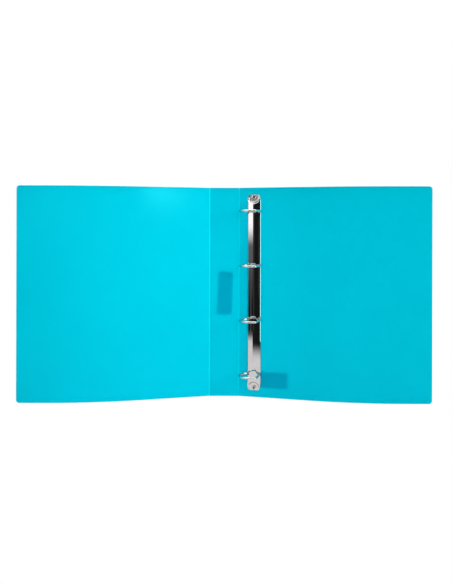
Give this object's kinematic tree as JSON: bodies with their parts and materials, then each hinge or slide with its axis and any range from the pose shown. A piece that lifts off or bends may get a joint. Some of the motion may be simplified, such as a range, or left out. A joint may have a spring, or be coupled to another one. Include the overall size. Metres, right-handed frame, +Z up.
{
  "type": "ring binder",
  "caption": "Translucent turquoise A4 binder, standing open, with a chromed D-ring mechanism riveted inside the back cover.",
  "frame": {"origin": "centre of the footprint box on the table, under the bottom edges of the open binder", "axes": "+Z up along the spine, +X from the spine towards the back cover, -Y towards the reader who faces the inner side"},
  "size_m": [0.5924, 0.0442, 0.31],
  "materials": {
    "sheet": "satin translucent polypropylene with a fine grain",
    "hinge_web": "pressed thin and smooth, lighter than the sheet",
    "rail_chrome": "bright nickel-chrome plate on pressed steel",
    "ring_chrome": "bright plated wire",
    "rivet_nickel": "nickel plate, rolled collar",
    "blade_steel": "zinc-plated strip steel",
    "label_paper": "plain self-adhesive paper"
  },
  "bodies": {
    "spine_body": {"spine_panel": "sheet", "front_hinge_web": "hinge_web", "back_hinge_web": "hinge_web", "spine_label": "label_paper"},
    "front_body": {"front_cover": "sheet"},
    "back_body": {"back_cover": "sheet", "rail_plate": "rail_chrome", "top_rivet": "rivet_nickel", "bottom_rivet": "rivet_nickel", "back_label": "label_paper"},
    "left_jaw": {"left_blade": "blade_steel", "ring_1_left": "ring_chrome", "ring_2_left": "ring_chrome", "ring_3_left": "ring_chrome", "ring_4_left": "ring_chrome"},
    "right_jaw": {"right_blade": "blade_steel", "ring_1_right": "ring_chrome", "ring_2_right": "ring_chrome", "ring_3_right": "ring_chrome", "ring_4_right": "ring_chrome"}
  },
  "joints": [
    {"name": "front_fold", "type": "hinge", "parent": "spine_body", "child": "front_body", "pos_m": [-0.022, 0.02159, 0.155], "axis": [0, 0, 1], "range_deg": [-99, 75.5]},
    {"name": "back_fold", "type": "hinge", "parent": "spine_body", "child": "back_body", "pos_m": [0.022, 0.02159, 0.155], "axis": [0, 0, -1], "range_deg": [-99, 75.5]},
    {"name": "left_ring_opening", "type": "hinge", "parent": "back_body", "child": "left_jaw", "pos_m": [0.03464, 0.01636, 0.155], "axis": [0, 0, -1], "range_deg": [0, 9.6]},
    {"name": "right_ring_opening", "type": "hinge", "parent": "back_body", "child": "right_jaw", "pos_m": [0.05275, 0.01168, 0.155], "axis": [0, 0, 1], "range_deg": [0, 9.6]}
  ],
  "couplings": [
    {"joint": "right_ring_opening", "follows": "left_ring_opening", "ratio": 1}
  ]
}
